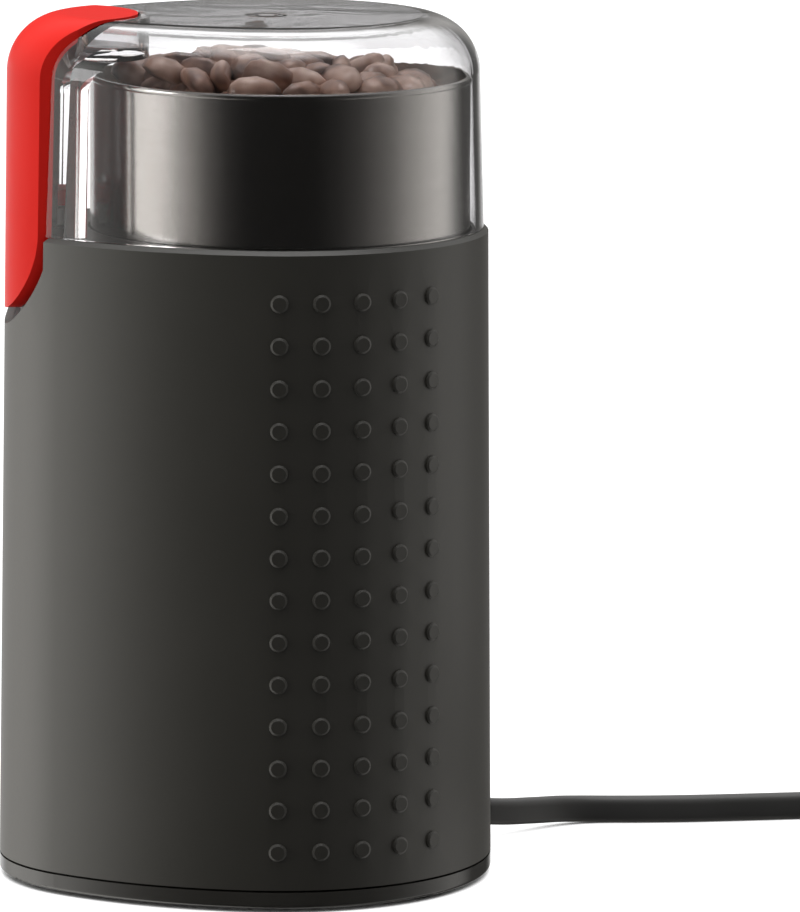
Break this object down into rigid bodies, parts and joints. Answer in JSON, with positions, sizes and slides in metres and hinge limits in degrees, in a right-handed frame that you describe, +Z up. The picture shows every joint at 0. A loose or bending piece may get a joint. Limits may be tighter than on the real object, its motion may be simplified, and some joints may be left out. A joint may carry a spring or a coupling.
{
  "type": "electric blade grinder",
  "caption": "Upright electric blade grinder with an egg-shaped plan, a clear lift-off lid, a press lever on the lid, a steel bowl with a spinning blade, and a flat mains cord.",
  "frame": {"origin": "middle of the footprint on the table, under the body, without the cord", "axes": "+Z up; X along the long axis of the egg-shaped plan with the start lever on the -X side; -Y is the side with the grip dots that faces the viewer"},
  "size_m": [0.263, 0.0879, 0.1679],
  "materials": {
    "clear_plastic": "clear moulded plastic, polished",
    "red_plastic": "glossy moulded red",
    "steel_bowl": "brushed, semi-bright",
    "blade_steel": "stamped, ground edge",
    "sleeve_rubber": "matte warm dark grey",
    "black_rubber": "matte black",
    "housing_plastic": "fine matte",
    "band_plastic": "glossy black",
    "white_plastic": "natural nylon",
    "black_plastic": "matte",
    "laminations": "stacked sheet edges",
    "copper_wire": "lacquered copper windings",
    "copper_bars": "turned copper bars",
    "bracket_steel": "die cast",
    "shaft_steel": "ground steel",
    "bronze": "sintered bronze",
    "zinc_screw": "bright zinc plated",
    "spring_steel": "spring wire",
    "carbon": "pressed carbon",
    "button_red": "moulded",
    "brass_tab": "stamped",
    "capacitor_yellow": "potted box",
    "cord_black": "satin black PVC",
    "tie_black": "nylon strap",
    "pin_nickel": "nickel plated"
  },
  "bodies": {
    "body": {"grinding_bowl": "steel_bowl", "bowl_gasket": "black_rubber", "shaft_bush": "bronze", "bush_nut": "zinc_screw", "shaft_seal": "black_rubber", "grip_sleeve": "sleeve_rubber", "housing": "housing_plastic", "base_plate": "band_plastic", "foot_1": "black_rubber", "foot_2": "black_rubber", "foot_3": "black_rubber", "foot_4": "black_rubber", "base_screws": "zinc_screw", "stator_core": "laminations", "field_coil_1": "copper_wire", "field_coil_2": "copper_wire", "upper_bracket": "bracket_steel", "lower_bracket": "bracket_steel", "upper_bearing": "bronze", "lower_bearing": "bronze", "bracket_screws": "zinc_screw", "brush_holder_1": "black_plastic", "brush_holder_2": "black_plastic", "carbon_brush_1": "carbon", "carbon_brush_2": "carbon", "brush_spring_1": "spring_steel", "brush_spring_2": "spring_steel", "mount_grommet_1": "black_rubber", "mount_grommet_2": "black_rubber", "mount_grommet_3": "black_rubber", "mount_grommet_4": "black_rubber", "mount_screws": "zinc_screw", "switch_body": "black_plastic", "switch_terminals": "brass_tab", "rod_spring": "spring_steel", "rod_seal": "black_rubber", "capacitor": "capacitor_yellow", "strain_relief": "cord_black", "cord_clamp": "black_plastic", "clamp_screws": "zinc_screw", "cord_run": "cord_black", "cord_coil": "cord_black", "cord_tail": "cord_black", "cord_tie": "tie_black", "plug": "cord_black", "plug_pin_1": "pin_nickel", "plug_pin_2": "pin_nickel"},
    "lid": {"lid": "clear_plastic"},
    "lever": {"start_lever": "red_plastic"},
    "rotor": {"motor_shaft": "shaft_steel", "armature_core": "laminations", "armature_winding": "copper_wire", "commutator": "copper_bars", "fan": "black_plastic", "blade": "blade_steel", "blade_hub": "black_plastic", "blade_cap": "black_plastic"},
    "switch_rod": {"push_rod": "white_plastic", "switch_button": "button_red"}
  },
  "joints": [
    {"name": "lid_lift", "type": "slide", "parent": "body", "child": "lid", "axis": [0, 0, 1], "range_m": [0, 0.09]},
    {"name": "lever_press", "type": "slide", "parent": "lid", "child": "lever", "axis": [0, 0, -1], "range_m": [0, 0.0022], "stiffness_N_per_m": 300, "springref_m": -0.001},
    {"name": "rotor_spin", "type": "hinge", "parent": "body", "child": "rotor", "pos_m": [0.00646, 0, 0.05], "axis": [0, 0, 1], "continuous": true},
    {"name": "rod_press", "type": "slide", "parent": "body", "child": "switch_rod", "axis": [0, 0, -1], "range_m": [0, 0.0022], "stiffness_N_per_m": 400, "springref_m": -0.001, "deforming": ["rod_spring"]}
  ],
  "couplings": [
    {"joint": "rod_press", "follows": "lever_press", "ratio": 1}
  ]
}
